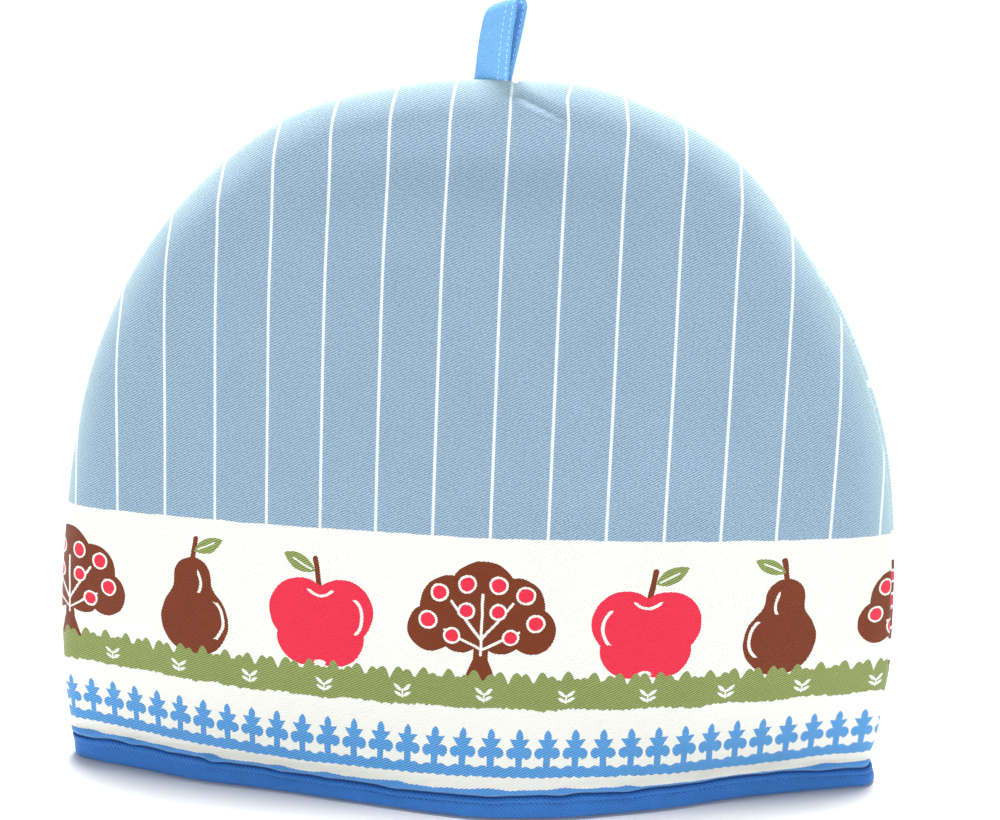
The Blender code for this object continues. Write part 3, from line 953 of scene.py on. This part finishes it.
# ---- cloth finish
# Colours as linear light
WARP_BLUE = (0.092, 0.178, 0.282)
WEFT_BLUE = (0.359, 0.489, 0.603)
WHITE_COTTON = (0.765, 0.770, 0.722)
STRIPE_WHITE = (0.76, 0.83, 0.86)
BARK_BROWN = (0.149, 0.027, 0.005)
BERRY_RED = (0.667, 0.020, 0.053)
LEAF_GREEN = (0.204, 0.252, 0.076)
SPRIG_BLUE = (0.079, 0.272, 0.570)
PALE_BLUE = (0.073, 0.253, 0.585)
HEM_BLUE = (0.030, 0.168, 0.520)
LOOP_BLUE = (0.152, 0.388, 0.715)
LOOP_THREAD = (0.400, 0.660, 0.930)
HEM_THREAD = (0.014, 0.075, 0.280)
# Paler colour along the seams: partly wear, partly a painted sheen where the padding rounds off
EDGE_WEAR_AND_SHEEN_PALE = (0.620, 0.810, 0.800)
LINING_WHITE = (0.78, 0.77, 0.73)

# Sizes on the cloth in millimetres, the twill's rise in degrees
STRIPE_PITCH = 22.9
STRIPE_HALF_WIDE = 0.56
TWILL_PITCH = 0.938
TWILL_RISE = 27
TWILL_WANDER = 1.8
THREADS_RAISED = 0.00008
# Painted sheen and wear along the seams: how strongly, and how far in from the seam in millimetres
EDGE_WEAR_AND_SHEEN = 0.40
EDGE_WEAR_AND_SHEEN_REACH = 5.5
PRINT_WOBBLE = 1.0
PRINT_WOBBLE_GRAIN = 0.13
STRIP_TOP = 1.2
HEDGE_FOOT = 35.5
HEDGE_TOP = 44.3
HEDGE_TORN = 3.4
SPROUT_PITCH = 33.0
SPROUT_UP = 38.6
FRIEZE_SHIFT = 2.0
TREE_PITCH = 92.5
TREE_UP = 45.5
APPLE_AT = (66.0, 68.0)
PEAR_AT = (122.0, 68.5)
SPRIG_PITCH = 11.34
SPRIG_SHIFT = 3.7


def mix(tree, first, second, share):
    """Colour between two, where share runs from 0 to 1."""
    node = tree.nodes.new("ShaderNodeMix")
    node.data_type = "RGBA"
    for name, value in (("A_Color", first), ("B_Color", second)):
        plug = next(s for s in node.inputs if s.identifier == name)
        if isinstance(value, tuple):
            plug.default_value = (*value, 1)
        else:
            tree.links.new(value, plug)
    plug_in(tree, next(s for s in node.inputs if s.identifier == "Factor_Float"), share)
    return next(s for s in node.outputs if s.identifier == "Result_Color")


def brighten(tree, colour, amount):
    """Colour times a number that varies over the surface."""
    node = tree.nodes.new("ShaderNodeVectorMath")
    node.operation = "SCALE"
    if isinstance(colour, tuple):
        node.inputs[0].default_value = colour
    else:
        tree.links.new(colour, node.inputs[0])
    plug_in(tree, node.inputs["Scale"], amount)
    return node.outputs[0]


def fine_noise(tree, x, y, scale_x, scale_y, detail=2):
    """Noise from 0 to 1 over the flat cloth, its grain given in grains a millimetre."""
    place = tree.nodes.new("ShaderNodeCombineXYZ")
    plug_in(tree, place.inputs[0], x * scale_x)
    plug_in(tree, place.inputs[1], y * scale_y)
    node = tree.nodes.new("ShaderNodeTexNoise")
    node.inputs["Scale"].default_value = 1
    node.inputs["Detail"].default_value = detail
    tree.links.new(place.outputs[0], node.inputs["Vector"])
    return Field(tree, node.outputs[0])


def new_material(name, roughness):
    material = bpy.data.materials.new(name)
    material.use_nodes = True
    tree = material.node_tree
    shader = tree.nodes["Principled BSDF"]
    shader.inputs["Roughness"].default_value = roughness
    return material, tree, shader


def cloth_material(name, roughness, sheen):
    """A material with its shader, and where each point lies on the flat cloth."""
    material, tree, shader = new_material(name, roughness)
    shader.inputs["Specular IOR Level"].default_value = 0.25
    shader.inputs["Sheen Weight"].default_value = sheen
    shader.inputs["Sheen Roughness"].default_value = 0.45
    read = tree.nodes.new("ShaderNodeAttribute")
    read.attribute_name = "cloth"
    parts = tree.nodes.new("ShaderNodeSeparateXYZ")
    tree.links.new(read.outputs["Vector"], parts.inputs[0])
    return material, tree, shader, [Field(tree, parts.outputs[k]) for k in range(3)]


def finish_cloth(tree, shader, colour, ribs, yarn):
    """Gives the cloth its colour and raises its threads."""
    node = tree.nodes.new("ShaderNodeBump")
    node.inputs["Strength"].default_value = 1
    node.inputs["Distance"].default_value = THREADS_RAISED
    plug_in(tree, node.inputs["Height"], ribs + 0.5 * yarn)
    tree.links.new(node.outputs[0], shader.inputs["Normal"])
    tree.links.new(colour, shader.inputs["Base Color"])


def twill(tree, spot, pitch, rise):
    """Height of a twill's slanting ribs, from 0 to 1, and the unevenness of its yarn, about 0.5."""
    slant = spot.turned(rise)
    yarn = fine_noise(tree, slant.x, slant.y, 1.1, 2.5, 2)
    ribs = (slant.y * (2 * math.pi / pitch) + yarn * TWILL_WANDER).sine() * 0.5 + 0.5
    return ribs, yarn


def sprig(spot):
    """Flower with a pointed bud, two leaves and two round lobes on a stem."""
    half = spot.mirrored()
    bud = half.at(0, 16.7).leaf(3.2, 1.5)
    leaves = most(half.x - 1.3 - (half.y - 11.2) * 0.62, half.y - 15.5 - half.x * 0.06, 11.0 - half.y)
    lobe = most(half.at(2.8, 9.9).disc(2.35), -half.at(1.9, 7.7).disc(0.55))
    waist = most(abs(half.y - 11.0) - 1.8, half.x - 1.5)
    stem = most(half.x - 1.35, abs(half.y - 5.6) - 5.0)
    return least(bud, leaves, lobe, waist, stem)


def rail(u, v):
    """The strip that the sprigs stand on, with leafy bumps on top and a slightly wavy foot."""
    tufts = abs((u * (2 * math.pi / SPRIG_PITCH)).sine()) * 1.6
    between = abs((u * (math.pi / SPRIG_PITCH)).sine()) * 0.6
    foot = 0.3 - abs((u * (3 * math.pi / SPRIG_PITCH)).sine()) * 0.6
    return most(v - 3.1 - most(tufts, between), foot - v)


def apple(spot):
    """Body, cut lines, stalk and leaf of an apple about 44 mm wide."""
    half = spot.mirrored()
    body = half.discs((8.6, 2.5, 13.6), (6.2, -8.5, 12.3))
    shine = most(spot.at(-7.5, 0.5).ring(10.2, 0.65), spot.x + 12.0, spot.y - 8.0, -spot.y - 6.5)
    core = most(spot.at(0, 15.5).ring(6.6, 0.55), spot.y - 11.5)
    bud = spot.at(0, -19.2).oval(2.6, 1.3)
    stalk = spot.at(0.3, 11.0).turned(-9).bar(13.5, 1.15)
    blade = spot.at(9.2, 22.6).turned(-62).leaf(7.4, 3.3)
    vein = spot.at(4.3, 20.0).turned(-62).bar(8.5, 0.35)
    return body, least(shine, core, bud), stalk, most(blade, -vein)


def pear(spot):
    """Body, cut lines, stalk and leaf of a pear about 34 mm wide."""
    low, top = spot.at(0, -7.5).disc(15.6), spot.at(0.8, 11.5).disc(8.4)
    body = low.math("SMOOTH_MIN", top, 9.0)
    shine = most(spot.at(-2.2, -6.5).ring(11.0, 0.65), spot.x + 6.6, spot.y - 1.5, -spot.y - 14.5)
    upper = most(spot.at(6.5, 8.6).ring(9.6, 0.6), spot.x + 1.6, 4.5 - spot.y, spot.y - 14.5)
    stalk = spot.at(0.9, 18.5).turned(12).bar(9.5, 1.15)
    blade = spot.at(-6.6, 25.2).turned(66).leaf(7.2, 3.0)
    vein = spot.at(-2.0, 23.3).turned(66).bar(8.0, 0.35)
    return body, least(shine, upper), stalk, most(blade, -vein)


def fruit_tree(spot):
    """Crown and trunk, its cut branches, and the fruit on it, of a tree about 60 mm wide."""
    half = spot.mirrored()
    crown = half.discs((0, 36.5, 13.5), (13.0, 31.5, 12.0), (20.0, 21.5, 9.8), (8.0, 20.5, 9.0))
    trunk = most(half.x - 3.0 - (9.0 - half.y).math("MAXIMUM", 0) * 0.38, abs(half.y - 9) - 9.5)
    branches = least(
        half.at(0, 11).bar(25, 0.55),
        half.at(0, 17).turned(-38).bar(20, 0.55),
        half.at(0, 13).turned(-62).bar(17, 0.5),
    )
    outer_fruit = half.discs((6.3, 40.0, 2.9), (17.2, 36.2, 2.9), (21.5, 24.6, 2.9))
    fruit = least(outer_fruit, half.discs((6.4, 29.0, 2.6), (11.8, 18.6, 2.6)))
    return least(crown, trunk), least(branches, fruit - 0.9), fruit


def hedge(u, v, torn):
    """Green ground with round leafy clumps on top and a ragged foot, and white sprouts cut into it."""
    clumps = abs((u * (math.pi / 9.6)).sine()) * 3.4 + abs((u * (math.pi / 5.3) + 0.7).sine()) * 2.4
    top = v - HEDGE_TOP - clumps
    foot = HEDGE_FOOT + (u * (2 * math.pi / 31)).sine() * 0.4 - torn * HEDGE_TORN
    sprout = Spot(u.folded(SPROUT_PITCH), v - SPROUT_UP)
    cut = least(
        sprout.at(1.9, 2.2).turned(-48).leaf(2.3, 0.75),
        sprout.at(1.7, -0.6).turned(-58).leaf(2.1, 0.7),
        sprout.at(0, -1.9).bar(3.2, 0.34),
    )
    return most(top, foot - v), cut


def printed_shapes(tree, u, v):
    """The border's uneven height, and for each ink its colour, its shape and how much twill shows in it."""
    v = v + (fine_noise(tree, u, v, PRINT_WOBBLE_GRAIN, PRINT_WOBBLE_GRAIN, 1) - 0.5) * PRINT_WOBBLE
    u = u + (fine_noise(tree, v, u, PRINT_WOBBLE_GRAIN, PRINT_WOBBLE_GRAIN, 1) - 0.5) * PRINT_WOBBLE
    ground, sprouts = hedge(u, v, fine_noise(tree, u, v, 0.60, 0.08, 5))
    half = Spot(abs(u + FRIEZE_SHIFT), v)
    trees = Spot((u + FRIEZE_SHIFT).folded(2 * TREE_PITCH), v)
    tree_body, tree_cuts, tree_fruit = fruit_tree(trees.at(0, TREE_UP))
    apple_body, apple_cuts, apple_stalk, apple_leaf = apple(half.at(*APPLE_AT))
    pear_body, pear_cuts, pear_stalk, pear_leaf = pear(half.at(*PEAR_AT))
    brown = least(most(tree_body, -tree_cuts), most(pear_body, -pear_cuts), apple_stalk, pear_stalk)
    red = least(most(apple_body, -apple_cuts), tree_fruit)
    green = least(most(ground, -sprouts), apple_leaf, pear_leaf)
    posy = Spot((u - SPRIG_SHIFT).folded(SPRIG_PITCH), v - RAIL_FOOT)
    sprigs = least(sprig(posy), rail(posy.x, posy.y))
    return v, (
        (BARK_BROWN, brown, 0.60),
        (BERRY_RED, red, 0.16),
        (LEAF_GREEN, green, 0.80),
        (SPRIG_BLUE, sprigs, 0.76),
        (PALE_BLUE, v - STRIP_TOP, 0.30),
    )


def printed_twill(name):
    """Striped chambray twill above, and a printed off-white border with a frieze and sprigs below."""
    material, tree, shader, (u, v, inside) = cloth_material(name, roughness=0.85, sheen=0.30)
    ribs, yarn = twill(tree, Spot(u, v), TWILL_PITCH, TWILL_RISE)
    cloudy = fine_noise(tree, u, v, 0.035, 0.035, 2)
    ragged = (ribs - 0.5) * 0.18

    field = mix(tree, WARP_BLUE, WEFT_BLUE, (0.74 * ribs + 1.5 * yarn - 0.62).within())
    stripe = u.folded(STRIPE_PITCH) - STRIPE_HALF_WIDE + (0.5 - ribs) * 0.12
    field = mix(tree, field, STRIPE_WHITE, stripe.ink(0.42) * (0.76 + 0.24 * ribs))
    # The cloth turns paler towards the seams: wear, plus painted sheen on the rounded edges
    field = mix(tree, field, EDGE_WEAR_AND_SHEEN_PALE, (inside / -EDGE_WEAR_AND_SHEEN_REACH).math("EXPONENT") * EDGE_WEAR_AND_SHEEN)

    v, prints = printed_shapes(tree, u, v)
    band = brighten(tree, WHITE_COTTON, 0.92 + 0.08 * ribs)
    for ink, shape, showing in prints:
        worn = brighten(tree, ink, 1 - showing / 2 + showing * ribs)
        band = mix(tree, band, worn, (shape + ragged).ink())
    colour = mix(tree, band, field, (BAND_TOP + ragged - v).ink(0.25))
    finish_cloth(tree, shader, brighten(tree, colour, 0.95 + 0.10 * cloudy), ribs, yarn)
    return material


def plain_cotton(name, colour, roughness, sheen, pitch, rise):
    """Plain dyed cotton with a fine twill."""
    material, tree, shader, (u, v, _) = cloth_material(name, roughness, sheen)
    ribs, yarn = twill(tree, Spot(u, v), pitch, rise)
    worn = fine_noise(tree, u, v, 0.09, 0.16, 3)
    made = brighten(tree, colour, 0.38 + 0.46 * ribs + 0.48 * yarn + 0.30 * worn)
    finish_cloth(tree, shader, made, ribs, yarn)
    return material


def thread_material(name, colour):
    """Sewing thread, with a little of its twist showing."""
    material, tree, shader = new_material(name, roughness=0.6)
    shader.inputs["Sheen Weight"].default_value = 0.2
    place = tree.nodes.new("ShaderNodeTexCoord")
    grain = tree.nodes.new("ShaderNodeTexNoise")
    grain.inputs["Scale"].default_value = 2600
    tree.links.new(place.outputs["Object"], grain.inputs["Vector"])
    made = brighten(tree, colour, 0.75 + 0.5 * Field(tree, grain.outputs[0]))
    tree.links.new(made, shader.inputs["Base Color"])
    return material


# ---- stage
def build_floor():
    data = bpy.data.meshes.new("floor")
    corners = [(x * FLOOR_HALF, y * FLOOR_HALF, 0) for x, y in ((-1, -1), (1, -1), (1, 1), (-1, 1))]
    data.from_pydata(corners, [], [(0, 1, 2, 3)])
    material, _, shader = new_material("pale_floor", roughness=0.6)
    shader.inputs["Base Color"].default_value = (FLOOR_WHITE, FLOOR_WHITE, FLOOR_WHITE, 1)
    data.materials.append(material)
    add_object("floor", data)


def build_lights():
    """Soft light from overhead and a little behind, in a surround that is brightest low in front.

    The camera sees a white backdrop in the surround's place.
    """
    scene = bpy.context.scene
    world = bpy.data.worlds.new("studio")
    world.use_nodes = True
    tree = world.node_tree
    facing = tree.nodes.new("ShaderNodeTexCoord")
    parts = tree.nodes.new("ShaderNodeSeparateXYZ")
    tree.links.new(facing.outputs["Generated"], parts.inputs[0])
    across, ahead, up = [Field(tree, parts.outputs[k]) for k in range(3)]
    sides = ((ahead, WORLD_BACK), (-across, WORLD_LEFT), (across, WORLD_RIGHT))
    strength = sum(toward.math("MAXIMUM", 0) * amount for toward, amount in sides)
    low = (1 - abs(up) * WORLD_FRONT_FADE).math("MAXIMUM", 0)
    strength = strength + (-ahead).math("MAXIMUM", 0) * low * WORLD_FRONT
    seen = Field(tree, tree.nodes.new("ShaderNodeLightPath").outputs["Is Camera Ray"])
    sky = tree.nodes["Background"]
    sky.inputs["Color"].default_value = (1, 1, 1, 1)
    plug_in(tree, sky.inputs["Strength"], strength * (1 - seen) + seen * BACKDROP_WHITE)
    scene.world = world
    data = bpy.data.lights.new("overhead", "SUN")
    data.energy = OVERHEAD
    data.angle = math.radians(OVERHEAD_SPREAD)
    light = add_object("overhead", data)
    light.rotation_euler = Vector(OVERHEAD_FROM).to_track_quat("Z", "Y").to_euler()
    scene.view_settings.view_transform = "Standard"


def build_camera():
    data = bpy.data.cameras.new("camera")
    data.lens = FOCAL_MM
    data.sensor_width = SENSOR_MM
    camera = add_object("camera", data)
    bpy.context.scene.camera = camera
    camera.matrix_world = Matrix.Translation(EYE)
    for angle, axis in ((-LOOK_ASIDE, "Z"), (math.pi / 2 - LOOK_DOWN, "X"), (ROLL, "Z")):
        camera.matrix_world @= Matrix.Rotation(angle, 4, axis)


# ---- the cosy
def build_cosy():
    print_cloth = printed_twill("printed_twill")
    lining = plain_cotton("plain_lining", LINING_WHITE, roughness=0.85, sheen=0.1, pitch=0.9, rise=20)
    hem_cotton = plain_cotton("hem_cotton", HEM_BLUE, roughness=0.68, sheen=0.15, pitch=1.05, rise=36)
    loop_cotton = plain_cotton("loop_cotton", LOOP_BLUE, roughness=0.7, sheen=0.15, pitch=0.7, rise=35)
    thread = thread_material("hem_thread", HEM_THREAD)
    loop_thread = thread_material("loop_thread", LOOP_THREAD)

    for name, side in (("front_panel", -1), ("back_panel", 1)):
        panel = padded_panel("padded_" + name, side, print_cloth, lining)
        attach(panel, "root")
        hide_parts(name)

    binding, strip_size = hem_binding(hem_cotton)
    stitches = hem_stitches(thread)
    loop, loop_stitches, tape_long = hang_loop(loop_cotton, loop_thread)
    for piece in (binding, stitches, loop, loop_stitches):
        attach(piece, "root")
    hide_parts("hem_binding")
    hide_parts("hang_loop")


build_camera()
build_lights()
build_floor()
build_cosy()
bpy.context.view_layer.update()
